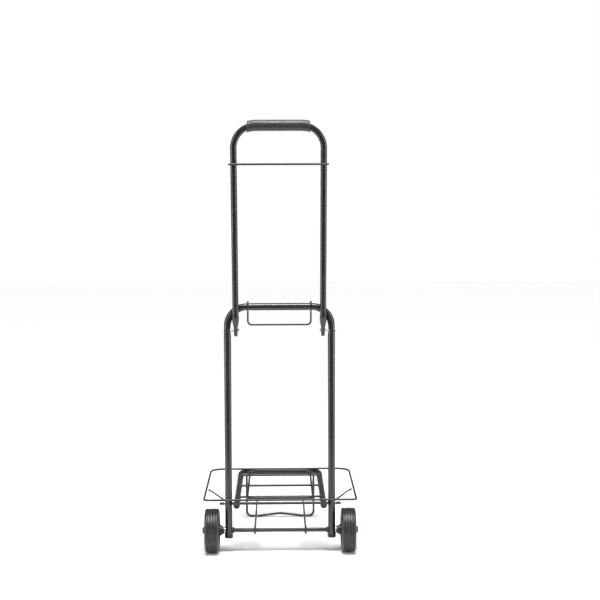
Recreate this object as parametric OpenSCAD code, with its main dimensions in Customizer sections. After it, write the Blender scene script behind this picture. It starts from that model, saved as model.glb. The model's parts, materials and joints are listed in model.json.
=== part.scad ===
// Folding two-wheeled luggage cart: an arched tube frame on two wheels, a hoop
// handle that folds back, and a wire deck that folds up on a parallelogram of stays.
// +X to the user's right, +Y forward under the load, +Z up, floor at Z = 0.

/* [Frame] */
// Centre distance of the two frame legs
frame_span = 213; // [190:1:260]
// Height of the arch's centre line above the floor
arch_height = 509; // [440:1:620]
// Outer diameter of the frame tube
frame_tube_d = 15; // [13:0.5:18]
// Wall of the frame tube
frame_wall = 1.5; // [1:0.1:2.5]
// Bend radius of the arch's corners
arch_bend = 40; // [32:1:48]
// Height of the leg tubes' lower ends
leg_bottom = 31.5; // [20:0.5:34]

/* [Handle] */
// Centre distance of the two handle legs
handle_span = 178.5; // [160:0.5:180]
// Length of the handle, from its pivots to the centre line of its top
handle_length = 421; // [300:1:470]
// Outer diameter of the handle tube
handle_tube_d = 12.7; // [10:0.1:14]
// Wall of the handle tube
handle_wall = 1.2; // [1:0.1:2]
// Distance of the handle pivots below the arch's centre line
pivot_drop = 48.7; // [44:0.1:60]
// Distance of the pivot hole from the handle leg's axis
blade_offset = 6.5; // [4:0.1:8]
// Thickness of the flattened leg ends
blade_thickness = 8; // [5:0.1:9]
// Diameter of the handle rivets
rivet_d = 5; // [4:0.1:6]
// Bend radius of the handle's corners
crown_bend = 45; // [34:1:56]
// Length of the foam grip, from end to end
grip_length = 124.5; // [100:0.5:140]
// Outer diameter of the foam grip
grip_d = 22.4; // [18:0.1:28]
// Diameter of the rod across the handle
cross_rod_d = 4; // [3:0.1:6]
// Distance of the cross rod below the top of the handle
cross_rod_drop = 75.5; // [66:0.5:120]

/* [Bail] */
// Centre distance of the bail's legs
bail_span = 129; // [90:1:132]
// Distance of the bail's bar below the arch's centre line
bail_drop = 37; // [28:1:42]
// Wire diameter of the bail
bail_wire_d = 3.5; // [3:0.1:4]

/* [Wheels] */
// Outer diameter of the tyres
wheel_d = 90; // [80:1:92]
// Width of a tyre
wheel_width = 30; // [24:1:36]
// Centre distance of the two wheels
track = 282; // [270:1:330]
// Diameter of the axle
axle_d = 8; // [6:0.1:10]
// Diameter of the rims, where the tyres sit
rim_d = 60; // [50:1:64]

/* [Deck] */
// Height of the deck's pivot rod
deck_height = 101.1; // [100:0.1:125]
// Diameter of the deck's pivot rod
pivot_rod_d = 6; // [5:0.1:8]
// Length of the pivot rod that stands out of each leg
pivot_rod_end = 11.4; // [8:0.1:16]
// Centre distance of the deck's side tubes
deck_span = 179; // [150:1:179]
// Outer diameter of the deck tube
deck_tube_d = 14; // [12:0.5:14]
// Wall of the deck tube
deck_wall = 1.2; // [1:0.1:2]
// Distance from the pivot rod forward to the deck tube's front bar
deck_reach = 320; // [270:1:400]
// Distance from the pivot rod back to the side tubes' rear ends
deck_tail = 19.5; // [17:0.5:24]
// Centre distance of the outer loop's sides
loop_span = 315; // [306:1:360]
// Wire diameter of the outer and inner loops
loop_wire_d = 4.5; // [4:0.1:5]
// Centre distance of the inner loop's sides
inner_span = 136; // [100:1:136]
// Wire diameter of the wires across the deck
cross_wire_d = 5; // [4:0.1:6]

/* [Foot and stays] */
// Centre distance of the foot's legs
foot_span = 153; // [149:1:154]
// Wire diameter of the foot
foot_wire_d = 5.2; // [4:0.1:5.6]
// Centre distance of the two stays
stay_span = 105; // [80:1:110]
// Wire diameter of the stays
stay_wire_d = 4; // [3:0.1:4.4]

/* [Fits] */
// Radial clearance of every pin, rod and axle in its hole
fit = 0.07; // [0.02:0.01:0.1]
// Gap between parts that rest against or swing past each other
gap = 0.3; // [0.2:0.05:0.5]
// Depth to which welded wires sink into what carries them
weld = 0.2; // [0.1:0.05:0.4]

/* [Hidden] */
$fn = 48;

// Frame
frame_r = frame_tube_d / 2;
leg_x = frame_span / 2;
leg_inner_face = leg_x - frame_r;
leg_outer_face = leg_x + frame_r;
axle_height = wheel_d / 2;
axle_r = axle_d / 2;
washer_r = axle_r + 2.8;
collar_r = axle_r + 2;
cap_wall = 1.2;
cap_floor = 2;
cap_clear = 0.8;
cap_top = axle_height - washer_r - cap_clear;
hook_wire_r = 1.6;
hook_tip_r = 2.4;
hook_start = 27;
hook_turn = 13;
hook_bend = 75;
hook_root = 4;
hook_end = 2;
hook_over_rod = 3.6;

// Handle: the lean at which its legs rest on the arch's corners
handle_r = handle_tube_d / 2;
handle_x = handle_span / 2;
pivot_height = arch_height - pivot_drop;
corner_sine = (handle_x - leg_x + arch_bend) / arch_bend;
corner_cosine = sqrt(1 - corner_sine * corner_sine);
rest_height = pivot_drop - arch_bend * (1 - corner_cosine);
function rest_distance(lean) =
    (frame_r + handle_r + gap) * sqrt(pow(sin(lean) * corner_sine, 2) + pow(corner_cosine, 2))
    / (cos(lean) * corner_cosine);
function settled_lean(lean, turns) =
    turns == 0 ? lean
    : settled_lean(asin((rest_distance(lean) * cos(lean) - blade_offset) / rest_height), turns - 1);
handle_lean = settled_lean(10, 12);
crown_half = handle_x - crown_bend;
swage_top = 40;
swage_belly_r = handle_r + 0.9;
blade_tip_r = 8;
blade_tip_drop = 4.5;
rivet_r = rivet_d / 2;
rivet_head_r = 3.9;
rivet_head = 2.7;
rivet_tail_r = 3.6;
rivet_tail = 2.4;
spacer_r = 3.4;
grip_r = grip_d / 2;
grip_end = grip_length / 2;
lip_r = grip_r + 0.4;
lip_length = 3;
sleeve_angle = min(80, asin(min(0.98, (grip_end - crown_half) / (crown_bend - lip_r))) + 4);
cross_rod_r = cross_rod_d / 2;
cross_rod_over = 3.7;

// Bail
bail_wire_r = bail_wire_d / 2;
bail_eye_wire_r = bail_wire_r + 0.15;
bail_eye_bend = frame_r + gap + bail_eye_wire_r;
bail_bend = 8;

// Deck, measured from its pivot rod
deck_r = deck_tube_d / 2;
deck_x = deck_span / 2;
rod_r = pivot_rod_d / 2;
clip_start = leg_outer_face + 0.2;
clip_r = 5;
groove_width = 1;
groove_cut = 0.6;
deck_bend = 28;
deck_cap_r = deck_r;
deck_cap_length = 3;
deck_plug_length = 8;
loop_wire_r = loop_wire_d / 2;
loop_z = deck_r + loop_wire_r - weld;
loop_rear = -(frame_r + loop_wire_r + gap);
loop_front = deck_reach - 12;
loop_rear_bend = 8;
loop_front_bend = 30;
inner_rear = 10;
inner_front = deck_reach - 26;
inner_bend = 14;
cross_wire_r = cross_wire_d / 2;
cross_wire_z = loop_z - loop_wire_r - cross_wire_r + weld;
cross_wire_places = [40, 150, deck_reach - 60];

// Foot, measured from its hinge at the deck's front, and stays
foot_hinge_y = deck_reach - deck_bend - 0.5;
foot_r = foot_wire_d / 2;
foot_x = foot_span / 2;
foot_rod_r = 2.5;
foot_tilt = asin((foot_r + foot_rod_r - weld) / (deck_height - axle_height));
foot_drop = (deck_height - foot_r) / cos(foot_tilt);
foot_bend = 11;
foot_top_bend = 5;
foot_pin_end = deck_x + deck_r + 2.2;
nut_r = 5;
nut_length = 1.4;
stay_r = stay_wire_d / 2;
stay_x = stay_span / 2;
eye_wire_r = stay_r + 0.12;
axle_eye_bend = axle_r + gap + eye_wire_r;
foot_eye_bend = foot_rod_r + gap + eye_wire_r;

// Wheels, measured from the middle of the tyre, outwards
wheel_x = track / 2;
wheel_half = wheel_width / 2;
tyre_r = wheel_d / 2;
rim_r = rim_d / 2;
shoulder_r = 5;
groove_depth = 1.3;
groove_half = 0.8;
groove_places = [-8, -2.8, 2.8, 8];
washer_length = 1.5;
collar_length = 4;
hub_inner = wheel_x - leg_outer_face - washer_length - gap;
hub_outer = wheel_half + 1;
hub_r = 11;
hub_tip_r = 7;
bushing_r = axle_r + 1.6;
end_cap_r = 7;
end_cap_length = 4;
axle_end = wheel_x + hub_outer + gap + end_cap_length - 1;

// The whole cart is moved so that the origin lies under the middle of its box
cart_front = deck_reach + deck_r;
grip_rear = handle_length * sin(handle_lean) + blade_offset * cos(handle_lean) + grip_r;
cart_rear = -grip_rear;
shift_y = -(cart_front + cart_rear) / 2;

// A step of a path is [length] or [bend radius, angle], left turns positive.
module path_step(step, r) {
    if (len(step) == 1) {
        rotate([0, 90, 0]) cylinder(h = step[0], r = r);
    } else {
        side = sign(step[1]);
        turn = abs(step[1]);
        translate([0, side * step[0], 0])
            rotate([0, 0, side > 0 ? -90 : 90 - turn])
                rotate_extrude(angle = turn) translate([step[0], 0]) circle(r = r);
    }
}

// A round bar along a path that starts at the origin towards +X and stays in the XY plane.
module bar(path, r, first = 0) {
    if (first < len(path)) {
        step = path[first];
        path_step(step, r);
        if (len(step) == 1) {
            translate([step[0], 0, 0]) bar(path, r, first + 1);
        } else {
            centre_y = sign(step[1]) * step[0];
            translate([0, centre_y, 0]) rotate([0, 0, step[1]]) translate([0, -centre_y, 0])
                bar(path, r, first + 1);
        }
    }
}

// The path with its first and last straights made longer, for the bore of a tube.
function longer(path, extra) = [
    for (i = [0 : len(path) - 1])
        i == 0 || i == len(path) - 1 ? [path[i][0] + extra] : path[i]
];

module tube(path, r, wall) {
    difference() {
        bar(path, r);
        translate([-1, 0, 0]) bar(longer(path, 1), r - wall);
    }
}

module rod_x(from, to, r) {
    translate([from, 0, 0]) rotate([0, 90, 0]) cylinder(h = to - from, r = r);
}

module ring_x(inner_r, outer_r, from, to) {
    difference() {
        rod_x(from, to, outer_r);
        rod_x(from - 1, to + 1, inner_r);
    }
}

module eye_x(bend_r, r) {
    rotate([0, 90, 0]) rotate_extrude() translate([bend_r, 0]) circle(r = r);
}

module both_sides() {
    children();
    mirror([1, 0, 0]) children();
}

module placed() { translate([0, shift_y, 0]) children(); }
module at_axle() { placed() translate([0, 0, axle_height]) children(); }
module at_deck() { placed() translate([0, 0, deck_height]) children(); }
module at_foot() { at_deck() translate([0, foot_hinge_y, 0]) children(); }
module at_pivot() { placed() translate([0, 0, pivot_height]) children(); }
module at_handle() { at_pivot() rotate([handle_lean, 0, 0]) translate([0, -blade_offset, 0]) children(); }
module at_arch() { placed() translate([0, 0, arch_height]) children(); }

// Frame
module lower_frame() {
    leg = arch_height - arch_bend - leg_bottom;
    path = [[leg], [arch_bend, -90], [frame_span - 2 * arch_bend], [arch_bend, -90], [leg]];
    color("dimgray") placed() difference() {
        translate([-leg_x, 0, leg_bottom]) rotate([90, 0, 0]) rotate([0, 0, 90])
            tube(path, frame_r, frame_wall);
        translate([0, 0, axle_height]) rod_x(-leg_outer_face - 1, leg_outer_face + 1, axle_r + fit);
        translate([0, 0, deck_height]) rod_x(-leg_outer_face - 1, leg_outer_face + 1, rod_r + fit);
        translate([0, 0, pivot_height]) rod_x(-leg_outer_face - 1, leg_outer_face + 1, rivet_r + fit);
    }
}

module leg_cap() {
    color("black") difference() {
        translate([leg_x, 0, leg_bottom - cap_floor]) cylinder(h = cap_top - leg_bottom + cap_floor, r = frame_r + cap_wall);
        translate([leg_x, 0, leg_bottom]) cylinder(h = cap_top, r = frame_r + fit);
    }
}
module right_leg_cap() { placed() leg_cap(); }
module left_leg_cap() { placed() mirror([1, 0, 0]) leg_cap(); }

// Bent peg beside the leg, for the eye of an elastic cord
module cord_hook() {
    path = [[hook_root], [hook_bend, hook_turn], [hook_bend, -hook_turn], [hook_end]];
    tip_x = hook_root + 2 * hook_bend * sin(hook_turn) + hook_end;
    tip_y = 2 * hook_bend * (1 - cos(hook_turn));
    color("dimgray") difference() {
        translate([leg_outer_face - 1.5, 0, deck_height + rod_r + hook_over_rod])
            rotate([90, 0, 0]) rotate([0, 0, hook_start]) {
                bar(path, hook_wire_r);
                translate([tip_x, tip_y, 0]) sphere(r = hook_tip_r);
            }
        translate([leg_x, 0, 0]) cylinder(h = arch_height - arch_bend, r = frame_r);
    }
}
module right_cord_hook() { placed() cord_hook(); }
module left_cord_hook() { placed() mirror([1, 0, 0]) cord_hook(); }

// Axle
module axle() { color("black") at_axle() rod_x(-axle_end, axle_end, axle_r); }

module axle_collars() {
    color("black") at_axle() both_sides()
        ring_x(axle_r + fit, collar_r, leg_inner_face - collar_length, leg_inner_face);
}

module axle_washers() {
    color("silver") at_axle() both_sides()
        ring_x(axle_r + fit, washer_r, leg_outer_face, leg_outer_face + washer_length);
}

module axle_end_caps() {
    start = wheel_x + hub_outer + gap;
    color("black") at_axle() both_sides() difference() {
        translate([start, 0, 0]) rotate([0, 90, 0]) {
            cylinder(h = end_cap_length - 1, r = end_cap_r);
            translate([0, 0, end_cap_length - 1]) cylinder(h = 1, r1 = end_cap_r, r2 = end_cap_r - 2);
        }
        rod_x(start - 1, axle_end, axle_r + fit);
    }
}

// The rod is held by a clip in a groove outside each leg, and its ends stay free as pegs.
module deck_pivot_rod() {
    reach = leg_outer_face + pivot_rod_end;
    color("dimgray") at_deck() difference() {
        rod_x(-reach, reach, rod_r);
        both_sides() ring_x(rod_r - groove_cut, rod_r + 1, clip_start, clip_start + groove_width);
    }
}

module pivot_rod_clips() {
    color("silver") at_deck() both_sides()
        ring_x(rod_r - groove_cut + fit, clip_r, clip_start + 0.1, clip_start + groove_width - 0.1);
}

// Handle pivots
module handle_rivet() {
    blade_inner = handle_x - blade_thickness / 2;
    color("silver") {
        rod_x(blade_inner - gap - rivet_tail, leg_outer_face + rivet_head, rivet_r);
        rod_x(leg_outer_face, leg_outer_face + rivet_head, rivet_head_r);
        rod_x(blade_inner - gap - rivet_tail, blade_inner - gap, rivet_tail_r);
    }
}
module right_handle_rivet() { at_pivot() handle_rivet(); }
module left_handle_rivet() { at_pivot() mirror([1, 0, 0]) handle_rivet(); }

module pivot_spacer() {
    color("silver") ring_x(rivet_r + fit, spacer_r, handle_x + blade_thickness / 2 + gap, leg_inner_face);
}
module right_pivot_spacer() { at_pivot() pivot_spacer(); }
module left_pivot_spacer() { at_pivot() mirror([1, 0, 0]) pivot_spacer(); }

// Handle
module swaged_end() {
    translate([handle_x, 0, 0]) {
        rotate_extrude() polygon([
            [0, 4], [blade_thickness / 2 - 0.2, 4], [swage_belly_r - 0.6, 20],
            [swage_belly_r, 26], [swage_belly_r - 0.4, 31], [handle_r, swage_top - 1], [handle_r, swage_top], [0, swage_top]
        ]);
        translate([-blade_thickness / 2, 0, 0]) rotate([90, 0, 90]) linear_extrude(blade_thickness) {
            translate([blade_offset, -blade_tip_drop]) circle(r = blade_tip_r);
            polygon([
                [blade_offset - blade_tip_r, -blade_tip_drop], [blade_offset + blade_tip_r, -blade_tip_drop],
                [blade_offset + blade_tip_r, 0], [handle_r - 0.4, 30], [0.4 - handle_r, 30],
                [blade_offset - blade_tip_r, 0]
            ]);
        }
    }
}

module handle_hoop() {
    leg = handle_length - crown_bend - swage_top;
    path = [[leg], [crown_bend, -90], [2 * crown_half], [crown_bend, -90], [leg]];
    color("dimgray") at_handle() difference() {
        union() {
            translate([-handle_x, 0, swage_top]) rotate([90, 0, 0]) rotate([0, 0, 90])
                tube(path, handle_r, handle_wall);
            both_sides() swaged_end();
        }
        translate([0, blade_offset, 0])
            rod_x(-handle_x - blade_thickness, handle_x + blade_thickness, rivet_r + fit);
    }
}

// Half of a sleeve along the handle's top, bent down over the corner by an angle
module crown_sleeve(r, angle) {
    translate([0, 0, handle_length]) rod_x(0, crown_half, r);
    translate([crown_half, 0, handle_length - crown_bend]) rotate([90, 0, 0]) mirror([1, -1, 0])
        rotate_extrude(angle = angle) translate([crown_bend, 0]) circle(r = r);
}

// A sleeve along the handle's top, cut off square between two distances from its middle
module grip_sleeve(r, from, to) {
    at_handle() both_sides() difference() {
        intersection() {
            crown_sleeve(r, sleeve_angle);
            translate([from, -2 * r, 0]) cube([to - from, 4 * r, 2 * handle_length]);
        }
        crown_sleeve(handle_r + fit, sleeve_angle + 2);
    }
}

module handle_grip() { color("black") grip_sleeve(grip_r, 0, grip_end - lip_length); }
module grip_rings() { color("black") grip_sleeve(lip_r, grip_end - lip_length, grip_end); }

module handle_cross_rod() {
    reach = handle_x + handle_r + cross_rod_over;
    color("dimgray") at_handle()
        translate([0, -handle_r - cross_rod_r + weld, handle_length - cross_rod_drop]) rod_x(-reach, reach, cross_rod_r);
}

// Bail that hangs on the arch
module latch_bail() {
    leg = bail_drop - bail_eye_bend - bail_bend;
    path = [[leg], [bail_bend, 90], [bail_span - 2 * bail_bend], [bail_bend, 90], [leg]];
    color("dimgray") at_arch() {
        translate([-bail_span / 2, 0, -bail_eye_bend]) rotate([90, 0, 0]) rotate([0, 0, -90]) bar(path, bail_wire_r);
        both_sides() translate([bail_span / 2, 0, 0]) eye_x(bail_eye_bend, bail_eye_wire_r);
    }
}

// Deck
module deck_tube() {
    side = deck_reach - deck_bend + deck_tail;
    path = [[side], [deck_bend, -90], [deck_span - 2 * deck_bend], [deck_bend, -90], [side]];
    color("dimgray") at_deck() difference() {
        translate([-deck_x, -deck_tail, 0]) rotate([0, 0, 90]) tube(path, deck_r, deck_wall);
        rod_x(-deck_x - deck_r - 1, deck_x + deck_r + 1, rod_r + fit);
        translate([0, foot_hinge_y, 0]) rod_x(-deck_x - deck_r - 1, deck_x + deck_r + 1, foot_r + fit);
    }
}

module deck_cap() {
    color("black") translate([deck_x, -deck_tail, 0]) rotate([90, 0, 0]) {
        cylinder(h = deck_cap_length - 1, r = deck_cap_r);
        translate([0, 0, deck_cap_length - 1]) cylinder(h = 1, r1 = deck_cap_r, r2 = deck_cap_r - 1);
        translate([0, 0, -deck_plug_length]) cylinder(h = deck_plug_length + 0.5, r = deck_r - deck_wall - fit);
    }
}
module right_deck_cap() { at_deck() deck_cap(); }
module left_deck_cap() { at_deck() mirror([1, 0, 0]) deck_cap(); }

// A closed wire loop with rounded corners, rear corners first
module wire_loop(span, rear, front, rear_bend, front_bend, r) {
    side = front - rear - rear_bend - front_bend;
    path = [
        [side], [front_bend, -90], [span - 2 * front_bend], [front_bend, -90],
        [side], [rear_bend, -90], [span - 2 * rear_bend], [rear_bend, -90]
    ];
    translate([-span / 2, rear + rear_bend, loop_z]) rotate([0, 0, 90]) bar(path, r);
}

module outer_loop() {
    color("dimgray") at_deck()
        wire_loop(loop_span, loop_rear, loop_front, loop_rear_bend, loop_front_bend, loop_wire_r);
}

module inner_loop() {
    color("dimgray") at_deck()
        wire_loop(inner_span, inner_rear, inner_front, inner_bend, inner_bend, loop_wire_r);
}

// The cross wires' ends are coped to the side tubes.
module deck_cross_wires() {
    color("dimgray") at_deck() difference() {
        for (y = cross_wire_places)
            translate([0, y, cross_wire_z]) rod_x(-deck_x, deck_x, cross_wire_r);
        both_sides() translate([deck_x, 0, 0]) rotate([-90, 0, 0]) cylinder(h = deck_reach, r = deck_r);
    }
}

// Foot: a wire whose ends turn outwards through the deck's side tubes
module foot_wire() {
    pin = foot_pin_end - foot_x - foot_top_bend;
    leg = foot_drop - foot_bend - foot_top_bend;
    path = [
        [pin], [foot_top_bend, -90], [leg], [foot_bend, 90], [foot_span - 2 * foot_bend],
        [foot_bend, 90], [leg], [foot_top_bend, -90], [pin]
    ];
    color("dimgray") at_foot() rotate([foot_tilt, 0, 0]) translate([-foot_pin_end, 0, 0]) rotate([90, 0, 0])
        bar(path, foot_r);
}

module foot_cross_wire() {
    color("dimgray") at_foot() translate([0, 0, axle_height - deck_height]) rod_x(-foot_x, foot_x, foot_rod_r);
}

module foot_push_nuts() {
    start = deck_x + deck_r + gap;
    color("silver") at_foot() both_sides() ring_x(foot_r + fit, nut_r, start, start + nut_length);
}

// Stays between the axle and the foot
module stay() {
    color("dimgray") translate([stay_x, 0, 0]) {
        eye_x(axle_eye_bend, eye_wire_r);
        translate([0, foot_hinge_y, 0]) eye_x(foot_eye_bend, eye_wire_r);
        translate([0, foot_hinge_y - foot_eye_bend, 0]) rotate([90, 0, 0])
            cylinder(h = foot_hinge_y - foot_eye_bend - axle_eye_bend, r = stay_r);
    }
}
module right_stay() { at_axle() stay(); }
module left_stay() { at_axle() mirror([1, 0, 0]) stay(); }

// Wheels
module on_right() { at_axle() translate([wheel_x, 0, 0]) rotate([0, 90, 0]) children(); }
module on_left() { mirror([1, 0, 0]) on_right() children(); }

module tyre() {
    color([0.16, 0.18, 0.17]) difference() {
        rotate_extrude() {
            polygon([
                [rim_r + fit, -wheel_half + 3], [rim_r + 3, -wheel_half], [tyre_r - shoulder_r, -wheel_half],
                [tyre_r - shoulder_r, wheel_half], [rim_r + 3, wheel_half], [rim_r + fit, wheel_half - 3]
            ]);
            translate([tyre_r - shoulder_r - 1, shoulder_r - wheel_half]) square([shoulder_r + 1, wheel_width - 2 * shoulder_r]);
            for (side = [-1, 1]) intersection() {
                translate([tyre_r - shoulder_r, side * (wheel_half - shoulder_r)]) circle(r = shoulder_r);
                translate([tyre_r - shoulder_r - 1, side > 0 ? 0 : -wheel_half]) square([shoulder_r + 1, wheel_half]);
            }
        }
        for (place = groove_places) translate([0, 0, place - groove_half]) difference() {
            cylinder(h = 2 * groove_half, r = tyre_r + 1);
            translate([0, 0, -1]) cylinder(h = 2 * groove_half + 2, r = tyre_r - groove_depth);
        }
    }
}

module rim() {
    color("black") difference() {
        rotate_extrude() polygon([
            [bushing_r + fit, -hub_inner], [hub_tip_r, -hub_inner], [hub_tip_r, -hub_inner + 3], [hub_tip_r + 2, -hub_inner + 3],
            [hub_tip_r + 2, -hub_inner + 6], [hub_r, -hub_inner + 6], [hub_r, -5], [rim_r - 4, -5], [rim_r - 4, -wheel_half + 3],
            [rim_r, -wheel_half + 3], [rim_r, wheel_half - 3], [rim_r - 4, wheel_half - 3], [rim_r - 4, 5],
            [hub_r, 5], [hub_r, hub_outer - 2], [hub_tip_r + 1, hub_outer], [bushing_r + fit, hub_outer]
        ]);
        for (turn = [0 : 60 : 300]) rotate([0, 0, turn])
            translate([(rim_r - 4 + hub_r) / 2, 0, -6]) cylinder(h = 12, r = 4);
    }
}

module bushing() {
    color("silver") translate([0, 0, -hub_inner]) difference() {
        cylinder(h = hub_inner + hub_outer, r = bushing_r);
        translate([0, 0, -1]) cylinder(h = hub_inner + hub_outer + 2, r = axle_r + fit);
    }
}

module right_tyre() { on_right() tyre(); }
module right_rim() { on_right() rim(); }
module right_bushing() { on_right() bushing(); }
module left_tyre() { on_left() tyre(); }
module left_rim() { on_left() rim(); }
module left_bushing() { on_left() bushing(); }

lower_frame();
left_leg_cap();
right_leg_cap();
left_cord_hook();
right_cord_hook();
axle();
axle_collars();
axle_washers();
axle_end_caps();
deck_pivot_rod();
pivot_rod_clips();
left_handle_rivet();
right_handle_rivet();
left_pivot_spacer();
right_pivot_spacer();
handle_hoop();
handle_grip();
grip_rings();
handle_cross_rod();
latch_bail();
deck_tube();
left_deck_cap();
right_deck_cap();
outer_loop();
inner_loop();
deck_cross_wires();
foot_wire();
foot_cross_wire();
foot_push_nuts();
left_stay();
right_stay();
left_tyre();
left_rim();
left_bushing();
right_tyre();
right_rim();
right_bushing();
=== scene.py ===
import json
import math

import bpy
import numpy as np
from mathutils import Matrix, Vector


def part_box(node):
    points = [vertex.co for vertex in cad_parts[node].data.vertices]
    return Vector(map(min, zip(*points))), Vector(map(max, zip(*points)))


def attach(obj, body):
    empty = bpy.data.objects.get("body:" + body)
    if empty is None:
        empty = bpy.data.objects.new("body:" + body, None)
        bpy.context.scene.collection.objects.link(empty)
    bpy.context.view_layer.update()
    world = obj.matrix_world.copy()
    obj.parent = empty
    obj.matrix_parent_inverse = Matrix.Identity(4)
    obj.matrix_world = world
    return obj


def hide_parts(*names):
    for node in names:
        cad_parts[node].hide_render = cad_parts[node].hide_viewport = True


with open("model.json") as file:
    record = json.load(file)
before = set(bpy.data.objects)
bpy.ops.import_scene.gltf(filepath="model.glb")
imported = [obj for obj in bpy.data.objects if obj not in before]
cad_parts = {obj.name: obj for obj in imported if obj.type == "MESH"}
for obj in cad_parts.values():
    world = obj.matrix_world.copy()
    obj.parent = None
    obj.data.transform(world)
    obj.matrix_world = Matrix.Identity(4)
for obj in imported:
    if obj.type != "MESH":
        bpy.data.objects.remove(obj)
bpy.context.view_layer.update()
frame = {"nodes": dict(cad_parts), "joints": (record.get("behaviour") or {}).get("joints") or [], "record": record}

mm = 0.001
leftRight = (("left", -1.0), ("right", 1.0))

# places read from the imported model
jointAt = {joint["name"]: np.array(joint["pos_m"], float) for joint in frame["joints"]}
deckAt = jointAt["deck_fold"]
footAt = jointAt["foot_swing"]
pivotAt = jointAt["handle_fold"]
archAt = jointAt["bail_swing"]
wheelAt = jointAt["right_wheel_spin"]
axleAt = np.array([0, wheelAt[1], wheelAt[2]])
xWay = np.array([1.0, 0, 0])
yWay = np.array([0, 1.0, 0])
zWay = np.array([0, 0, 1.0])


# quads of a grid of rows x columns, as index arithmetic; columns always run round
def gridFaces(rows, columns, closeRows):
    i = np.arange(rows if closeRows else rows - 1)[:, None]
    j = np.arange(columns)[None, :]
    across = (j + 1) % columns
    below = (i + 1) % rows
    corners = (i * columns + j, i * columns + across, below * columns + across, below * columns + j)
    return np.stack(np.broadcast_arrays(*corners), axis=-1).reshape(-1, 4)


# triangles from one ring of points to the point at its middle
def fanFaces(ring, tip):
    return np.stack([ring, np.roll(ring, -1), np.full_like(ring, tip)], axis=-1)


# a mesh from a grid of points; open ends are closed with a fan to the ring's middle, and the faces
# are turned outwards by the sign of the volume: the sum over triangles of a . (b x c) / 6
def surface(name, points, body, material, closeRows=False, sharp=40):
    rows, columns = points.shape[:2]
    spots = points.reshape(-1, 3)
    quads = gridFaces(rows, columns, closeRows)
    fans = np.zeros((0, 3), int)
    if not closeRows:
        tips = np.array([points[0].mean(axis=0), points[-1].mean(axis=0)])
        first = fanFaces(np.arange(columns), rows * columns)[:, ::-1]
        last = fanFaces((rows - 1) * columns + np.arange(columns), rows * columns + 1)
        fans = np.concatenate([first, last])
        spots = np.concatenate([spots, tips])
    triangles = np.concatenate([quads[:, [0, 1, 2]], quads[:, [0, 2, 3]], fans])
    a, b, c = (spots[triangles[:, k]] for k in range(3))
    if np.einsum("ij,ij->i", a, np.cross(b, c)).sum() < 0:
        quads = quads[:, ::-1]
        fans = fans[:, ::-1]
    return finished(name, spots, quads.tolist() + fans.tolist(), body, material, sharp)


# the mesh put in the scene, smooth except at edges sharper than the angle, riding on its body
def finished(name, spots, faces, body, material, sharp=40):
    mesh = bpy.data.meshes.new(name)
    mesh.from_pydata(spots.tolist(), [], faces)
    mesh.update()
    mesh.shade_smooth()
    mesh.set_sharp_from_angle(angle=math.radians(sharp))
    mesh.materials.append(material)
    piece = bpy.data.objects.new(name, mesh)
    bpy.context.scene.collection.objects.link(piece)
    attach(piece, body)
    return piece


# a polyline with its corners rounded: each corner becomes an arc of its own radius, which meets
# the straights at radius * tan(half the turn) from the corner
def bentPath(corners, bends, step=4 * mm, arcStep=4):
    corners = np.array(corners, float)
    pieces = [corners[:1]]
    for before, corner, after, bend in zip(corners[:-2], corners[1:-1], corners[2:], bends):
        inWay = (corner - before) / np.linalg.norm(corner - before)
        outWay = (after - corner) / np.linalg.norm(after - corner)
        turn = math.acos(float(np.clip(inWay @ outWay, -1, 1)))
        reach = bend * math.tan(turn / 2)
        side = outWay - inWay * (inWay @ outWay)
        side /= np.linalg.norm(side)
        t = np.linspace(0, turn, max(3, math.ceil(math.degrees(turn) / arcStep)))[:, None]
        pieces.append(corner - inWay * reach + bend * (inWay * np.sin(t) + side * (1 - np.cos(t))))
    pieces.append(corners[-1:])
    path = np.concatenate(pieces)
    lengths = np.concatenate([[0], np.cumsum(np.linalg.norm(np.diff(path, axis=0), axis=1))])
    along = np.unique(np.round(np.concatenate([lengths, np.arange(0, lengths[-1], step)]), 7))
    along = along[np.concatenate([[True], np.diff(along) > 0.05 * mm])]
    return along, np.stack([np.interp(along, lengths, path[:, k]) for k in range(3)], axis=1)


# a closed outline carried along a flat path: at each point the ring is
# centre + side * across * cos(a) + normal * (through * sin(a) + shift), where normal stands on the
# path's plane, side = normal x tangent, and powers of 2/n square the ring off where n is above 2
def carried(path, normal, across, through, columns=32, shift=0.0, square=2.0):
    tangent = np.gradient(path, axis=0)
    tangent /= np.linalg.norm(tangent, axis=1)[:, None]
    side = np.cross(normal, tangent)
    side /= np.linalg.norm(side, axis=1)[:, None]
    count = len(path)
    angle = np.linspace(0, 2 * np.pi, columns, endpoint=False)[None, :]
    power = 2 / np.broadcast_to(square, count)[:, None]
    cosine = np.sign(np.cos(angle)) * np.abs(np.cos(angle)) ** power
    sine = np.sign(np.sin(angle)) * np.abs(np.sin(angle)) ** power
    wide = np.reshape(across, (-1, 1)) * cosine
    deep = np.reshape(through, (-1, 1)) * sine + np.reshape(shift, (-1, 1))
    return path[:, None, :] + side[:, None, :] * wide[..., None] + normal * deep[..., None]


# the same radius all along a path, drawn in over the last edge to rounded tips:
# radius - edge * (1 - sqrt(1 - u^2)), where u goes from 0 where the edge starts to 1 at the tip
def roundedRadius(along, radius, edge):
    fromEnd = np.clip(np.minimum(along, along[-1] - along) / edge, 0, 1)
    return radius - edge * (1 - np.sqrt(1 - (1 - fromEnd) ** 2))


# extra stations close to both ends, so that a rounded tip has rows to bend with
def withTips(along, path, edge):
    near = edge * (1 - np.cos(np.linspace(0, np.pi / 2, 6)))
    wanted = np.unique(np.round(np.concatenate([along, near, along[-1] - near]), 7))
    return wanted, np.stack([np.interp(wanted, along, path[:, k]) for k in range(3)], axis=1)


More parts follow.
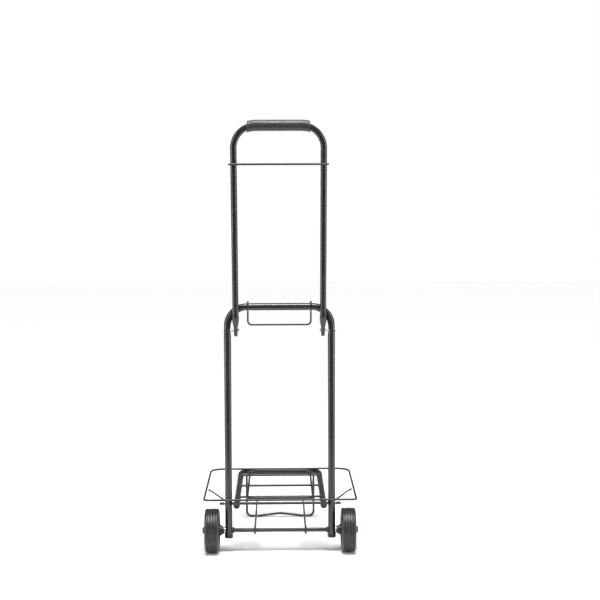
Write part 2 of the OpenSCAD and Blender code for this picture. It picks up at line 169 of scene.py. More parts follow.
# a round wire with rounded tips, bent along corners
def wire(name, corners, bends, normal, radius, body, material, edge=0.8 * mm):
    along, path = bentPath(corners, bends, step=6 * mm)
    along, path = withTips(along, path, edge)
    size = roundedRadius(along, radius, edge)
    return surface(name, carried(path, np.array(normal, float), size, size, 20), body, material)


# a profile of (radius, distance along the axis) turned round an axis:
# point = origin + axis * distance + radius * (u * cos(a) + v * sin(a))
def turned(profile, origin, axis, columns=48):
    profile = np.array(profile, float)
    u = zWay if abs(axis[2]) < 0.5 else xWay
    v = np.cross(axis, u)
    angle = np.linspace(0, 2 * np.pi, columns, endpoint=False)
    around = u * np.cos(angle)[:, None] + v * np.sin(angle)[:, None]
    return origin + axis * profile[:, 1, None, None] + profile[:, 0, None, None] * around[None]


def shaderOf(material):
    return material.node_tree.nodes["Principled BSDF"]


# a material; a value that is the same everywhere is set on the shader's own socket
def newFinish(name, colour, roughness, metallic=0.0, **sockets):
    material = bpy.data.materials.new(name)
    material.use_nodes = True
    shader = shaderOf(material)
    shader.inputs["Base Color"].default_value = (*colour, 1)
    shader.inputs["Roughness"].default_value = roughness
    shader.inputs["Metallic"].default_value = metallic
    for socket, value in sockets.items():
        shader.inputs[socket.replace("_", " ")].default_value = value
    return material


# a node; each value goes to the socket of that name, or to the property
def addNode(material, kind, place=(0, 0), **values):
    made = material.node_tree.nodes.new(kind)
    made.location = place
    for key, value in values.items():
        if key in made.inputs:
            made.inputs[key].default_value = value
        else:
            setattr(made, key, value)
    return made


def join(material, source, target):
    material.node_tree.links.new(source, target)


# noise in metres over the object
def grainNoise(material, scale, detail=2.0, place=(-800, 0), stretch=None):
    spot = addNode(material, "ShaderNodeTexCoord", (place[0] - 400, place[1]))
    noise = addNode(material, "ShaderNodeTexNoise", place, Scale=scale, Detail=detail)
    if stretch:
        mapping = addNode(material, "ShaderNodeMapping", (place[0] - 200, place[1]), Scale=stretch)
        join(material, spot.outputs["Object"], mapping.inputs["Vector"])
        join(material, mapping.outputs["Vector"], noise.inputs["Vector"])
    else:
        join(material, spot.outputs["Object"], noise.inputs["Vector"])
    return noise


# roughness between two values, from the middle of the noise
def varyRoughness(material, noise, low, high):
    spread = addNode(material, "ShaderNodeMapRange", (-400, -200))
    for socket, value in (("From Min", 0.3), ("From Max", 0.7), ("To Min", low), ("To Max", high)):
        spread.inputs[socket].default_value = value
    join(material, noise.outputs["Fac"], spread.inputs["Value"])
    join(material, spread.outputs["Result"], shaderOf(material).inputs["Roughness"])


# colour between two tones, along the noise
def varyColour(material, noise, dark, light, low=0.35, high=0.7):
    ramp = addNode(material, "ShaderNodeValToRGB", (-400, 200))
    ramp.color_ramp.elements[0].position = low
    ramp.color_ramp.elements[0].color = (*dark, 1)
    ramp.color_ramp.elements[1].position = high
    ramp.color_ramp.elements[1].color = (*light, 1)
    join(material, noise.outputs["Fac"], ramp.inputs["Fac"])
    join(material, ramp.outputs["Color"], shaderOf(material).inputs["Base Color"])


# the noise as small heights, in metres
def raiseGrain(material, noise, distance):
    bump = addNode(material, "ShaderNodeBump", (-300, -500), Strength=1.0, Distance=distance)
    join(material, noise.outputs["Fac"], bump.inputs["Height"])
    join(material, bump.outputs["Normal"], shaderOf(material).inputs["Normal"])


# the three layers of a finish, each from its own noise: blotches of colour, patches of gloss, grain
def dress(material, use):
    colourNoise = grainNoise(material, use["blotchScale"], use["blotchDetail"], (-800, 300))
    varyColour(material, colourNoise, use["dark"], use["light"])
    stretch = use.get("stretch")
    patchNoise = grainNoise(material, use["patchScale"], use["patchDetail"], (-800, -200), stretch)
    varyRoughness(material, patchNoise, *use["gloss"])
    if use.get("grainHeight"):
        grain = grainNoise(material, use["grainScale"], use["grainDetail"], (-800, -500))
        raiseGrain(material, grain, use["grainHeight"])


tubePaintSettings = {
    "dark": (0.012, 0.012, 0.0115),
    "light": (0.02, 0.02, 0.019),      # dust
    "blotchScale": 45.0,
    "blotchDetail": 4.0,
    "gloss": (0.2, 0.27),              # lowest and highest roughness
    "patchScale": 90.0,
    "patchDetail": 3.0,
    "grainScale": 620.0,               # orange peel, cells of about 1.6 mm
    "grainDetail": 1.0,
    "grainHeight": 0.000003,
}
tubeDark = tubePaintSettings["dark"]
paintTube = newFinish("blackPaintTube", tubeDark, 0.3, Coat_Weight=0.25, Coat_Roughness=0.18)
dress(paintTube, tubePaintSettings)

wirePaintSettings = {
    "dark": (0.011, 0.011, 0.0105),
    "light": (0.021, 0.021, 0.02),
    "blotchScale": 80.0,
    "blotchDetail": 4.0,
    "gloss": (0.3, 0.42),
    "patchScale": 140.0,
    "patchDetail": 3.0,
    "grainScale": 900.0,
    "grainDetail": 1.0,
    "grainHeight": 0.000003,
}
paintWire = newFinish("blackPaintWire", (0.013, 0.013, 0.0125), 0.34, Coat_Weight=0.15, Coat_Roughness=0.25)
dress(paintWire, wirePaintSettings)

zincSettings = {
    "dark": (0.5, 0.5, 0.49),
    "light": (0.78, 0.78, 0.76),
    "spangleScale": 700.0,
    "gloss": (0.18, 0.34),
    "patchScale": 500.0,
    "grainScale": 1200.0,
    "grainHeight": 0.00002,
}
zincPlate = newFinish("zincPlate", zincSettings["light"], 0.25, 1.0)
spangleSpot = addNode(zincPlate, "ShaderNodeTexCoord", (-1200, 300))
spangle = addNode(zincPlate, "ShaderNodeTexVoronoi", (-900, 300), Scale=zincSettings["spangleScale"])
join(zincPlate, spangleSpot.outputs["Object"], spangle.inputs["Vector"])
spangleRamp = addNode(zincPlate, "ShaderNodeValToRGB", (-500, 300))
spangleRamp.color_ramp.elements[0].color = (*zincSettings["dark"], 1)
spangleRamp.color_ramp.elements[1].color = (*zincSettings["light"], 1)
join(zincPlate, spangle.outputs["Color"], spangleRamp.inputs["Fac"])
join(zincPlate, spangleRamp.outputs["Color"], shaderOf(zincPlate).inputs["Base Color"])
zincPatches = grainNoise(zincPlate, zincSettings["patchScale"], 3.0, (-800, -200))
varyRoughness(zincPlate, zincPatches, *zincSettings["gloss"])
zincGrain = grainNoise(zincPlate, zincSettings["grainScale"], 2.0, (-800, -500))
raiseGrain(zincPlate, zincGrain, zincSettings["grainHeight"])

plasticSettings = {
    "dark": (0.012, 0.012, 0.012),
    "light": (0.02, 0.02, 0.02),
    "blotchScale": 120.0,
    "blotchDetail": 3.0,
    "gloss": (0.38, 0.54),
    "patchScale": 200.0,
    "patchDetail": 3.0,
    "grainScale": 1500.0,
    "grainDetail": 2.0,
    "grainHeight": 0.00004,
}
mouldedPlastic = newFinish("mouldedPlastic", plasticSettings["dark"], 0.45)
dress(mouldedPlastic, plasticSettings)

nylonSettings = {
    "dark": (0.5, 0.49, 0.44),
    "light": (0.68, 0.67, 0.62),
    "blotchScale": 150.0,
    "blotchDetail": 3.0,
    "gloss": (0.34, 0.5),
    "patchScale": 250.0,
    "patchDetail": 3.0,
}
nylon = newFinish("bushingNylon", (0.62, 0.61, 0.56), 0.4, Subsurface_Weight=0.1)
dress(nylon, nylonSettings)

foamSettings = {
    "dark": (0.026, 0.026, 0.027),
    "light": (0.044, 0.044, 0.045),
    "blotchScale": 260.0,
    "blotchDetail": 5.0,
    "gloss": (0.4, 0.5),
    "patchScale": 120.0,
    "patchDetail": 3.0,
    "grainScale": 1400.0,              # open pores
    "grainDetail": 4.0,
    "grainHeight": 0.00006,
}
foamRubber = newFinish("foamRubber", foamSettings["dark"], 0.5, Sheen_Weight=0.12, Sheen_Roughness=0.4)
dress(foamRubber, foamSettings)

tyreSettings = {
    "dark": (0.012, 0.014, 0.013),
    "light": (0.022, 0.027, 0.0245),   # dry rubber, faintly green
    "sheenTint": (0.7, 0.9, 0.8, 1),
    "blotchScale": 90.0,
    "blotchDetail": 6.0,
    "gloss": (0.3, 0.46),
    "patchScale": 60.0,
    "patchDetail": 4.0,
    "stretch": (0.4, 1, 1),            # scuffs drawn out across the tread
    "grainScale": 800.0,
    "grainDetail": 4.0,
    "grainHeight": 0.00006,
}
tyreRubber = newFinish("tyreRubber", tyreSettings["dark"], 0.45, Sheen_Weight=0.12, Sheen_Roughness=0.4)
shaderOf(tyreRubber).inputs["Sheen Tint"].default_value = tyreSettings["sheenTint"]
dress(tyreRubber, tyreSettings)
print("finishes made")

slotFinish = {
    "coated_tube": paintTube,
    "coated_wire": paintWire,
    "zinc": zincPlate,
    "black_plastic": mouldedPlastic,
    "nylon": nylon,
    "grip_rubber": foamRubber,
    "tyre": tyreRubber,
}
for part in frame["record"]["subparts"]:
    node = frame["nodes"][part["node"]]
    node.data.materials.clear()
    node.data.materials.append(slotFinish[part["material_slot"]])


frameSettings = {
    "span": 213 * mm,
    "bottom": 31.5 * mm,
    "radius": 7.5 * mm,
    "bend": 40 * mm,
    "ovality": 0.06,      # share by which the bends flatten
    "dent": 1.1 * mm,     # where the pivot rivets draw the tube in
    "dentReach": 8 * mm,
    "bendFade": 10 * mm,  # how gently the flattening sets in
}


# an arch, carried along its path: drawn in a little across its bends, and dented inwards at the rivets
def buildFrameTube():
    use = frameSettings
    half = use["span"] / 2
    y, top = axleAt[1], archAt[2]
    corners = [(-half, y, use["bottom"]), (-half, y, top), (half, y, top), (half, y, use["bottom"])]
    _, path = bentPath(corners, [use["bend"]] * 2)
    corner = np.stack([half - use["bend"] - np.abs(path[:, 0]), top - use["bend"] - path[:, 2]], axis=1)
    inBend = np.exp(-(corner.max(axis=1) / use["bendFade"]) ** 2)
    across = use["radius"] * (1 - use["ovality"] * inBend)
    points = carried(path, yWay, across, np.full(len(path), use["radius"]), 40)
    # the dent pushes only the side that faces the other leg, by a bell curve along the leg
    bell = np.exp(-((points[..., 2] - pivotAt[2]) / use["dentReach"]) ** 2)
    inward = np.clip((half - np.abs(points[..., 0])) / use["radius"], 0, 1) ** 2
    onLeg = np.abs(path[:, 0:1]) > half - 4 * mm
    points[..., 0] += np.sign(points[..., 0]) * use["dent"] * bell * inward * onLeg
    piece = surface("frame_tube", points, "frame", paintTube, sharp=60)
    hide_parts("lower_frame")


buildFrameTube()
print("frame tube bent")


handleSettings = {
    "lean": math.radians(10.7612),
    "span": 178.5 * mm,
    "length": 421 * mm,
    "radius": 6.35 * mm,
    "bend": 45 * mm,
    "pinAhead": 6.5 * mm,     # the rivets stand this far in front of the legs
    "tip": 8 * mm,            # radius of the blade's rounded tip
    "tipDrop": 4.5 * mm,      # from the pin to the middle of the rounded tip
    "bladeRise": 32 * mm,     # where the blade's edges meet the round tube
    # heights over the pin, and the half width across the blade at each
    "stations": np.array([-12.5, -12, -10.5, -8, 3, 10, 16, 21, 26, 31, 36, 40]) * mm,
    "halfWidths": np.array([1.6, 2.6, 3.5, 3.9, 3.95, 4.7, 5.9, 6.8, 7.15, 6.95, 6.5, 6.35]) * mm,
    "squareAt": np.array([0, 24, 39]) * mm,
    "squares": [4.5, 2.4, 2.0],
}
handleTurn = np.array(Matrix.Rotation(handleSettings["lean"], 3, "X"))


# from the handle's own frame, with the pins at its origin, to the model's
def onHandle(points):
    return (np.array(points, float) - yWay * handleSettings["pinAhead"]) @ handleTurn.T + pivotAt


# an upside-down U carried along its path; its legs end in flat blades with a belly above them
def buildHandleHoop():
    use = handleSettings
    half = use["span"] / 2
    bottom = -use["tip"] - use["tipDrop"]
    corners = [(-half, 0, bottom), (-half, 0, use["length"]), (half, 0, use["length"]), (half, 0, bottom)]
    along, path = bentPath(corners, [use["bend"]] * 2, step=3 * mm)
    along, path = withTips(along, path, use["tip"])
    height = path[:, 2]
    onLeg = height < use["length"] - use["bend"]
    # half width across the blade: flat, then out to the belly and back to the round tube
    across = np.where(onLeg, np.interp(height, use["stations"], use["halfWidths"]), use["radius"])
    # front and back edges: the tip's circle below, upright up to the pin, straight to the tube above
    underTip = np.clip(-use["tipDrop"] - height, 0, use["tip"])
    rounded = np.sqrt(use["tip"] ** 2 - underTip ** 2)
    rise = np.clip(height / use["bladeRise"], 0, 1)
    front = use["pinAhead"] + rounded + (use["radius"] - use["pinAhead"] - use["tip"]) * rise
    back = use["pinAhead"] - rounded - (use["radius"] + use["pinAhead"] - use["tip"]) * rise
    belly = np.clip(across - use["radius"], 0, None)
    through = np.maximum((front - back) / 2 + belly, 0.3 * mm)
    shift = (front + back) / 2
    # squared off at the blade, round from the belly up
    square = np.where(onLeg, np.interp(height, use["squareAt"], use["squares"]), 2.0)
    through = np.where(onLeg, through, use["radius"])
    shift = np.where(onLeg, shift, 0)
    rings = carried(path, yWay, across, through, 40, shift, square)
    piece = surface("handle_tube", onHandle(rings), "handle", paintTube, sharp=60)
    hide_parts("handle_hoop")


gripShape = {
    "half": 62.25 * mm,
    "radius": 11.2 * mm,
    "lip": 0.4 * mm,
    "lipLength": 3 * mm,
    "edge": 1.4 * mm,
    "droop": 0.75,        # share of the tube's own fall that the sleeve follows at its ends
    "seam": 0.25 * mm,
    "wear": 0.1 * mm,     # rise and fall of hand-worn foam, and the room left for it under the skin
    "wearFade": 8 * mm,
    "waist": 0.2 * mm,    # the dip beside each lip
}


# the sleeve runs straight across and its ends are cut upright, so every ring stands on x = constant;
# its middle falls with the bend of the tube inside: bend * (1 - sqrt(1 - (past / bend)^2))
def buildGrip():
    use = gripShape
    hoop = handleSettings
    straight = hoop["span"] / 2 - hoop["bend"]
    edgeRows = use["edge"] * (1 - np.cos(np.linspace(0, np.pi / 2, 7)))
    middle = np.linspace(-use["half"] + use["edge"], use["half"] - use["edge"], 140)
    rows = np.unique(np.concatenate([-use["half"] + edgeRows, middle, use["half"] - edgeRows]))
    past = np.clip(np.abs(rows) - straight, 0, None)
    fall = hoop["bend"] * (1 - np.sqrt(1 - (past / hoop["bend"]) ** 2)) * use["droop"]
    fromEnd = use["half"] - np.abs(rows)
    lip = use["lip"] / (1 + np.exp((fromEnd - use["lipLength"]) / (0.25 * mm)))
    waist = -use["waist"] * np.exp(-((fromEnd - use["lipLength"] - 0.9 * mm) / (0.7 * mm)) ** 2)
    u = np.clip(fromEnd / use["edge"], 0, 1)
    size = use["radius"] + lip + waist - use["edge"] * (1 - np.sqrt(1 - (1 - u) ** 2))
    angle = np.linspace(0, 2 * np.pi, 72, endpoint=False)
    # a mould seam along the front and back, and the slow unevenness of the worn foam
    ridge = np.exp(-((np.abs(np.cos(angle)) - 1) / 0.003) ** 2) * use["seam"]
    worn = use["wear"] * np.sin(3 * angle + 40 * rows[:, None]) * np.cos(90 * rows[:, None] + 1)
    fade = np.clip(fromEnd / use["wearFade"], 0, 1)[:, None]
    radius = size[:, None] + ridge + worn * fade - use["wear"]
    radius = np.minimum(radius, use["radius"] + lip[:, None])
    rings = np.stack([
        rows[:, None] + 0 * radius,
        radius * np.cos(angle),
        hoop["length"] - fall[:, None] + radius * np.sin(angle),
    ], axis=-1)
    piece = surface("grip_sleeve", onHandle(rings), "handle", foamRubber, sharp=70)
    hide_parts("handle_grip", "grip_rings")


buildHandleHoop()
buildGrip()
print("handle and grip made")


footSettings = {
    "pinEnd": 98.7 * mm,
    "span": 153 * mm,
    "drop": 98.88 * mm,       # from the hinge to the lower bar, along the leaning plane
    "tilt": math.radians(5.01),
    "radius": 2.6 * mm,
    "kinkReach": 50 * mm,
    "kinkRise": 6.2 * mm,     # the lower bar is bent up at its middle
    "bends": np.array([5, 11, 30, 16, 30, 11, 5]) * mm,
}


# a round wire in the foot's leaning plane: out through the hinge, down, across with a kink, and back
def buildFootWire():
    use = footSettings
    half = use["span"] / 2
    down = np.array([0, math.sin(use["tilt"]), -math.cos(use["tilt"])])
    flat = np.array([
        (-use["pinEnd"], 0), (-half, 0), (-half, use["drop"]), (-use["kinkReach"], use["drop"]),
        (0, use["drop"] - use["kinkRise"]),
        (use["kinkReach"], use["drop"]), (half, use["drop"]), (half, 0), (use["pinEnd"], 0),
    ])
    corners = footAt + flat[:, 0:1] * xWay + flat[:, 1:2] * down
    piece = wire("foot_bar", corners, use["bends"], np.cross(xWay, down), use["radius"], "foot", paintWire)
    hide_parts("foot_wire")


buildFootWire()
print("foot bent")


tyreShape = {
    "radius": 45 * mm,
    "seat": 30.1 * mm,
    "half": 15 * mm,
    "shoulder": 5 * mm,
    "grooves": np.array([-8, -2.8, 2.8, 8]) * mm,
    "grooveHalf": 0.95 * mm,
    "grooveDepth": 1.4 * mm,
    "crown": 0.5 * mm,
    "notches": 72,
    "notchDepth": 0.35 * mm,
    "notchAt": 12.4 * mm,         # how far from the tyre's middle the flutes stand
    "notchHalf": 1.5 * mm,
    "notchFrom": 40 * mm,         # no flutes closer to the axle than this
    "rings": ((37.5 * mm, 0.7 * mm), (34 * mm, 0.5 * mm)),    # raised rings: radius, half width
    "ringHeight": 0.35 * mm,
    "wallHollow": 0.5 * mm,
    "wallReach": 7 * mm,
}


# the tyre's section, turned round the axle: tread, shoulders, side walls and beads in one closed profile
def buildTyre(side, sign):
    use = tyreShape
    x = np.linspace(-1, 1, 131)
    x = np.sign(x) * np.abs(x) ** 0.8 * use["half"]
    over = np.clip(np.abs(x) - (use["half"] - use["shoulder"]), 0, use["shoulder"])
    # tread: crown as a parabola, shoulders as quarter circles, grooves as smooth dips
    crown = use["crown"] * (x / use["half"]) ** 2
    tread = use["radius"] - crown - use["shoulder"] + np.sqrt(use["shoulder"] ** 2 - over ** 2)
    dips = np.exp(-((x[:, None] - use["grooves"]) / use["grooveHalf"]) ** 4).sum(axis=1)
    tread = tread - use["grooveDepth"] * dips
    # side wall: in from the shoulder to the bead, with two raised rings
    wall = np.linspace(tread[-1], use["seat"] + 3 * mm, 26)[1:]
    rings = use["ringHeight"] * sum(np.exp(-((wall - at) / half) ** 4) for at, half in use["rings"])
    inward = np.clip((use["radius"] - use["shoulder"] - wall) / use["wallReach"], 0, 1)
    hollow = -use["wallHollow"] * np.sin(inward * np.pi)
    wallX = np.minimum(use["half"] + hollow + rings, use["half"])
    lip = np.array([(use["seat"] + 1.2 * mm, use["half"] - 0.9 * mm), (use["seat"], use["half"] - 3 * mm)])
    outer = np.stack([tread, x], axis=1)
    right = np.concatenate([np.stack([wall, wallX], axis=1), lip])
    left = right[::-1] * [1, -1]
    profile = np.concatenate([left, outer, right])
    columns = use["notches"] * 4
    centre = wheelAt * [sign, 1, 1]
    points = turned(profile, centre, xWay, columns)
    # short flutes round both shoulders, at every fourth column
    flute = np.where(np.arange(columns) % 4 == 0, 1.0, 0.0)[None, :]
    fromFlute = (np.abs(profile[:, 1]) - use["notchAt"]) / use["notchHalf"]
    onShoulder = np.exp(-fromFlute ** 4) * (profile[:, 0] > use["notchFrom"])
    spoke = points - centre
    spoke[..., 0] = 0
    spoke /= np.linalg.norm(spoke, axis=2)[..., None]
    points = points - spoke * (onShoulder[:, None] * flute * use["notchDepth"])[..., None]
    body = side + "_wheel"
    piece = surface(side + "_tread_tyre", points, body, tyreRubber, closeRows=True, sharp=50)
    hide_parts(side + "_tyre")


webSettings = {
    "first": 30,               # degrees, then one web every sixty
    "apart": 60,
    "reach": np.linspace(10.4, 26.6, 12) * mm,      # from the hub out to the rim
    "ring": 12,                # points round a web
    "at": np.array([10, 18, 27]) * mm,
    "halfWidths": np.array([2.1, 1.3]) * mm,        # at the first and last of these
    "heights": np.array([4.6, 2.6, 3.6]) * mm,
    "discHalf": 4 * mm,
}


# webs on each face of the wheel disc, between its windows: an ellipse, half sunk in the disc,
# carried outwards from the hub
def buildWebs(side, sign):
    use = webSettings
    centre = wheelAt * [sign, 1, 1]
    turns = np.radians(np.arange(use["first"], 360, use["apart"]))
    reach = use["reach"]
    ring = np.linspace(0, 2 * np.pi, use["ring"], endpoint=False)
    wide = np.interp(reach, use["at"][[0, -1]], use["halfWidths"])
    tall = np.interp(reach, use["at"], use["heights"])
    spots, quads, fans = [], [], []
    grid = gridFaces(len(reach), len(ring), False)
    lastRow = (len(reach) - 1) * len(ring)
    for face in (-1.0, 1.0):
        for turn in turns:
            out = np.array([0, math.cos(turn), math.sin(turn)])
            along = np.array([0, -math.sin(turn), math.cos(turn)])
            rows = centre + out * reach[:, None, None]
            rows = rows + along * (wide[:, None] * np.cos(ring))[..., None]
            rows = rows + xWay * (face * (use["discHalf"] + tall[:, None] * np.sin(ring)))[..., None]
            start = sum(len(block) for block in spots)
            flip = face < 0
            quads += (grid[:, ::-1] + start if flip else grid + start).tolist()
            first = np.arange(len(ring)) + start
            last = first + lastRow
            ends = [first, last[::-1]] if flip else [first[::-1], last]
            fans += [end.tolist() for end in ends]
            spots.append(rows.reshape(-1, 3))
    spots = np.concatenate(spots)
    finished(side + "_wheel_webs", spots, quads + fans, side + "_wheel", mouldedPlastic)


for side, sign in leftRight:
    buildTyre(side, sign)
    buildWebs(side, sign)
print("wheels made")


# profiles of the small turned pieces: (radius, distance along the axis) in millimetres
turnedSettings = {
    "leg": [
        (0, 0.5), (3, 0.5), (4, 0), (7.7, 0), (8.4, 0.3), (8.7, 1.0), (8.7, 2.2), (8.45, 2.5), (8.7, 2.8),
        (8.7, 6.6), (8.5, 7.4), (8.1, 7.9), (7.55, 7.9), (7.55, 5), (0, 5),
    ],
    "deck": [
        (0, 2.2), (3.2, 2.2), (3.8, 2.7), (4.6, 3.0), (5.6, 2.8), (6.5, 2.2), (6.9, 1.3), (7, 0.6),
        (7, 0.05), (6.6, -0.1), (5, -0.1), (0, -0.1),
    ],
    "axle": [
        (0, 3.5), (2.6, 3.5), (3.1, 3.9), (4.4, 4.0), (5.7, 3.5), (6.6, 2.5), (6.95, 1.4), (7, 0.5),
        (6.8, 0.05), (6.2, 0), (4.1, 0), (4.1, 0.6), (0, 0.6),
    ],
    "rivetTail": [
        (0, -1.6), (1.2, -1.7), (1.9, -2.3), (2.6, -2.4), (3.3, -2.0), (3.6, -1.2), (3.6, -0.3),
        (3.4, 0), (2.5, 0),
    ],
    "rivetDome": [
        (2.5, 0), (3.8, 0), (3.9, 0.3), (3.75, 1.0), (3.3, 1.7), (2.5, 2.3), (1.4, 2.62), (0.5, 2.7),
        (0, 2.7),
    ],
    "tailAt": 84.95 * mm,      # from the middle of the cart to the face the tail is bucked on
    "domeAt": 114 * mm,
    "legCover": 2 * mm,        # how far the leg cap's foot stands below the tube
    "deckHalf": 89.5 * mm,
    "deckTail": 19.5 * mm,
    "axleCapLength": 4 * mm,
}


def legCap(side, sign):
    use = turnedSettings
    profile = np.array(use["leg"], float) * mm
    foot = np.array([sign * frameSettings["span"] / 2, axleAt[1], frameSettings["bottom"] - use["legCover"]])
    points = turned(profile, foot, zWay)
    piece = surface(side + "_leg_foot", points, "frame", mouldedPlastic)
    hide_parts(side + "_leg_cap")


def deckCap(side, sign):
    use = turnedSettings
    profile = np.array(use["deck"], float) * mm
    back = deckAt + np.array([sign * use["deckHalf"], -use["deckTail"], 0])
    points = turned(profile, back, -yWay)
    piece = surface(side + "_deck_plug", points, "deck", mouldedPlastic)
    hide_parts(side + "_deck_cap")


# a bucked tail, the shank and a domed head, as one turned piece from the inside outwards
def rivet(side, sign):
    use = turnedSettings
    tail = np.array(use["rivetTail"]) * mm + [0, use["tailAt"]]
    dome = np.array(use["rivetDome"]) * mm + [0, use["domeAt"]]
    place = np.array([0, pivotAt[1], pivotAt[2]])
    points = turned(np.concatenate([tail, dome]), place, sign * xWay, 36)
    piece = surface(side + "_pivot_rivet", points, "frame", zincPlate)
    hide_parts(side + "_handle_rivet")


def axleCaps():
    profile = np.array(turnedSettings["axle"], float) * mm
    _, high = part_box("axle_end_caps")
    for side, sign in leftRight:
        start = np.array([sign * (high[0] - turnedSettings["axleCapLength"]), axleAt[1], axleAt[2]])
        points = turned(profile, start, sign * xWay)
        piece = surface(side + "_axle_dome", points, "frame", mouldedPlastic)
        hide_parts("axle_end_caps")


for side, sign in leftRight:
    legCap(side, sign)
    deckCap(side, sign)
    rivet(side, sign)
axleCaps()
print("caps and rivets made")


beadSettings = {
    "rows": 11,
    "columns": 18,
    "poleGap": 0.02,       # radians left open at each pole, closed by a flat ring
    "ripple": 0.05,
    "fineRipple": 0.03,
}


# beads are flattened balls with a rippled skin:
# centre + radii * (sin(v) cos(u), sin(v) sin(u), cos(v)) * ripple
def beads(name, places, radii, body):
    use = beadSettings
    rows, columns = use["rows"], use["columns"]
    places = np.array(places, float)
    radii = np.broadcast_to(np.array(radii, float), places.shape)
    v = np.linspace(use["poleGap"], np.pi - use["poleGap"], rows)[:, None]
    u = np.linspace(0, 2 * np.pi, columns, endpoint=False)[None, :]
    ball = np.stack([np.sin(v) * np.cos(u), np.sin(v) * np.sin(u), np.cos(v) + 0 * u], axis=-1)
    ripple = 1 + use["ripple"] * np.sin(5 * u + 3 * v) + use["fineRipple"] * np.sin(9 * u - 4 * v)
    ball = (ball * ripple[..., None]).reshape(-1, 3)
    spots = (places[:, None, :] + radii[:, None, :] * ball[None]).reshape(-1, 3)
    starts = (np.arange(len(places)) * len(ball))[:, None, None]
    quads = (gridFaces(rows, columns, False)[None] + starts).reshape(-1, 4)
    ends = np.stack([np.arange(columns)[::-1], np.arange(columns) + (rows - 1) * columns])
    rings = (ends[None] + starts).reshape(-1, columns)
    faces = quads[:, ::-1].tolist() + rings[:, ::-1].tolist()
    return finished(name, spots, faces, body, paintWire, 60)


# places over the deck's axis, or from the middle of the cart, and each weld's half sizes along x, y and z
weldSettings = {
    "deckTop": 7.1 * mm,        # top of the deck tube over its axis
    "tubeX": 89.5 * mm,
    "loopRear": -10.05 * mm,
    "loopFront": 308 * mm,
    "bendX": 61.5 * mm,         # middle of the deck's front bend
    "bendRadius": 28 * mm,
    "bendBack": 16 * mm,        # how far the loop crosses in front of that middle
    "loopSize": (3.4 * mm, 3.6 * mm, 1.3 * mm),
    "innerX": 68 * mm,
    "innerTop": 6.95 * mm,
    "innerSize": (2.6 * mm, 2.8 * mm, 1.1 * mm),
    "crossY": (40 * mm, 150 * mm, 260 * mm),
    "crossX": 84 * mm,
    "crossTop": 4.5 * mm,
    "crossSize": (1.5 * mm, 3.3 * mm, 3.0 * mm),
    "rodDrop": 75.5 * mm,       # the handle's cross rod below the hoop's top
    "rodBehind": 6.5 * mm,
    "rodSize": (3.2 * mm, 1.3 * mm, 2.9 * mm),
    "hookX": 114.2 * mm,
    "hookSize": (1.3 * mm, 2.6 * mm, 2.6 * mm),
    "footX": 75.6 * mm,
    "footAhead": 2.5 * mm,
    "footSize": (2.6 * mm, 1.4 * mm, 3.0 * mm),
}


def deckWelds():
    use = weldSettings
    # where the front bend passes under the loop: a right triangle inside the bend
    frontX = use["bendX"] + math.sqrt(use["bendRadius"] ** 2 - use["bendBack"] ** 2)
    tubeTops = [(sign * use["tubeX"], use["loopRear"], use["deckTop"]) for _, sign in leftRight]
    tubeTops += [(sign * frontX, use["loopFront"], use["deckTop"]) for _, sign in leftRight]
    beads("loop_welds", np.array(tubeTops) + deckAt, use["loopSize"], "deck")
    inner = [(sign * use["innerX"], y, use["innerTop"]) for _, sign in leftRight for y in use["crossY"]]
    beads("inner_loop_welds", np.array(inner) + deckAt, use["innerSize"], "deck")
    ends = [(sign * use["crossX"], y, use["crossTop"]) for _, sign in leftRight for y in use["crossY"]]
    beads("cross_wire_welds", np.array(ends) + deckAt, use["crossSize"], "deck")


def otherWelds():
    use = weldSettings
    rodHeight = handleSettings["length"] - use["rodDrop"]
    legX = handleSettings["span"] / 2
    legs = onHandle([(sign * legX, -use["rodBehind"], rodHeight) for _, sign in leftRight])
    beads("cross_rod_welds", legs, use["rodSize"], "handle")
    hooks = [(sign * use["hookX"], axleAt[1], deckAt[2] + use["deckTop"]) for _, sign in leftRight]
    beads("hook_welds", hooks, use["hookSize"], "frame")
    feet = [(sign * use["footX"], footAt[1] + use["footAhead"], axleAt[2]) for _, sign in leftRight]
    beads("foot_welds", feet, use["footSize"], "foot")


deckWelds()
otherWelds()
print("welds added")


studioSettings = {
    "paper": ((-4.0, -0.95), (4.0, 9.0)),    # the sheet's corners on the floor
    "floorColour": (0.9, 0.9, 0.895),
    "backdrop": 1.0,       # what the camera sees behind the object
    "daylight": 0.14,      # what lights it
    "sun": 3.2,
    "sunAngle": 32,        # degrees across, for soft shadows
    "sunTilt": 12,
    # each softbox: place, the point it faces, width, height, power in watts
    "softboxes": {
        "left_softbox": ((-1.9, -0.7, 0.9), (0, -0.1, 0.6), 0.4, 1.9, 22.0),
        "right_softbox": ((1.9, -0.7, 0.9), (0, -0.1, 0.6), 0.4, 1.9, 22.0),
        "top_softbox": ((0, -0.55, 2.3), (0, -0.1, 0.4), 1.4, 0.5, 26.0),
        "front_softbox": ((0, -3.6, 0.5), (0, 0, 0.4), 2.4, 0.8, 4.0),
    },
}


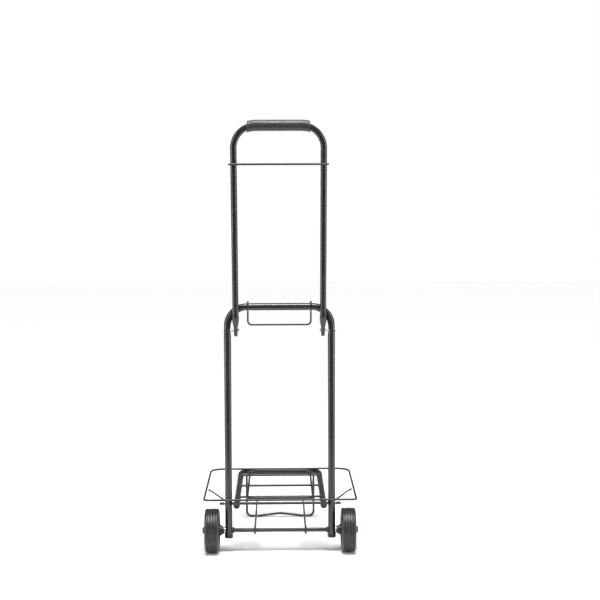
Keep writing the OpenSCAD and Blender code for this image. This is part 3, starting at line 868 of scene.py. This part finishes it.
# a pale floor, white behind everything for the camera, dimmer even light for the object, and one soft sun
def buildSetting():
    use = studioSettings
    (left, near), (right, far) = use["paper"]
    mesh = bpy.data.meshes.new("studio_floor")
    corners = [(left, near, 0), (right, near, 0), (right, far, 0), (left, far, 0)]
    mesh.from_pydata(corners, [], [(0, 1, 2, 3)])
    floor = bpy.data.objects.new("studio_floor", mesh)
    bpy.context.scene.collection.objects.link(floor)
    paper = newFinish("paleFloor", use["floorColour"], 0.85)
    mesh.materials.append(paper)
    world = bpy.data.worlds.new("studioAir")
    world.use_nodes = True
    air = world.node_tree
    lighting = air.nodes["Background"]
    lighting.inputs["Color"].default_value = (1, 1, 1, 1)
    lighting.inputs["Strength"].default_value = use["daylight"]
    paperWhite = air.nodes.new("ShaderNodeBackground")
    paperWhite.inputs["Color"].default_value = (1, 1, 1, 1)
    paperWhite.inputs["Strength"].default_value = use["backdrop"]
    rays = air.nodes.new("ShaderNodeLightPath")
    choose = air.nodes.new("ShaderNodeMixShader")
    air.links.new(rays.outputs["Is Camera Ray"], choose.inputs["Fac"])
    air.links.new(lighting.outputs["Background"], choose.inputs[1])
    air.links.new(paperWhite.outputs["Background"], choose.inputs[2])
    air.links.new(choose.outputs["Shader"], air.nodes["World Output"].inputs["Surface"])
    bpy.context.scene.world = world
    bpy.context.scene.view_settings.view_transform = "Standard"
    overhead = bpy.data.lights.new("overhead", "SUN")
    overhead.energy = use["sun"]
    overhead.angle = math.radians(use["sunAngle"])
    hung = bpy.data.objects.new("overhead", overhead)
    hung.rotation_euler = (math.radians(use["sunTilt"]), 0, 0)
    bpy.context.scene.collection.objects.link(hung)


def addSoftbox(name, place, aim, width, height, power):
    lamp = bpy.data.lights.new(name, "AREA")
    lamp.shape = "RECTANGLE"
    lamp.size = width
    lamp.size_y = height
    lamp.energy = power
    box = bpy.data.objects.new(name, lamp)
    box.location = place
    box.visible_camera = False
    box.rotation_euler = (Vector(aim) - Vector(place)).to_track_quat("-Z", "Y").to_euler()
    bpy.context.scene.collection.objects.link(box)


cameraSettings = {
    "lens": 79.4,
    "sensor": 36,
    "behind": 2.7,         # metres behind the axle
    "height": 0.7255,
    "yaw": -0.9,           # degrees
    "down": 4.3,
    "roll": -0.2,
}


def addCamera():
    use = cameraSettings
    camera = bpy.data.cameras.new("front_view")
    camera.lens = use["lens"]
    camera.sensor_width = use["sensor"]
    viewer = bpy.data.objects.new("front_view", camera)
    turn = Matrix.Rotation(math.radians(use["yaw"]), 4, "Z")
    turn = turn @ Matrix.Rotation(math.radians(90 - use["down"]), 4, "X")
    turn = turn @ Matrix.Rotation(math.radians(use["roll"]), 4, "Z")
    viewer.matrix_world = Matrix.Translation((0, axleAt[1] - use["behind"], use["height"])) @ turn
    bpy.context.scene.collection.objects.link(viewer)
    bpy.context.scene.camera = viewer


buildSetting()
for name, box in studioSettings["softboxes"].items():
    addSoftbox(name, *box)
addCamera()
print("setting ready")
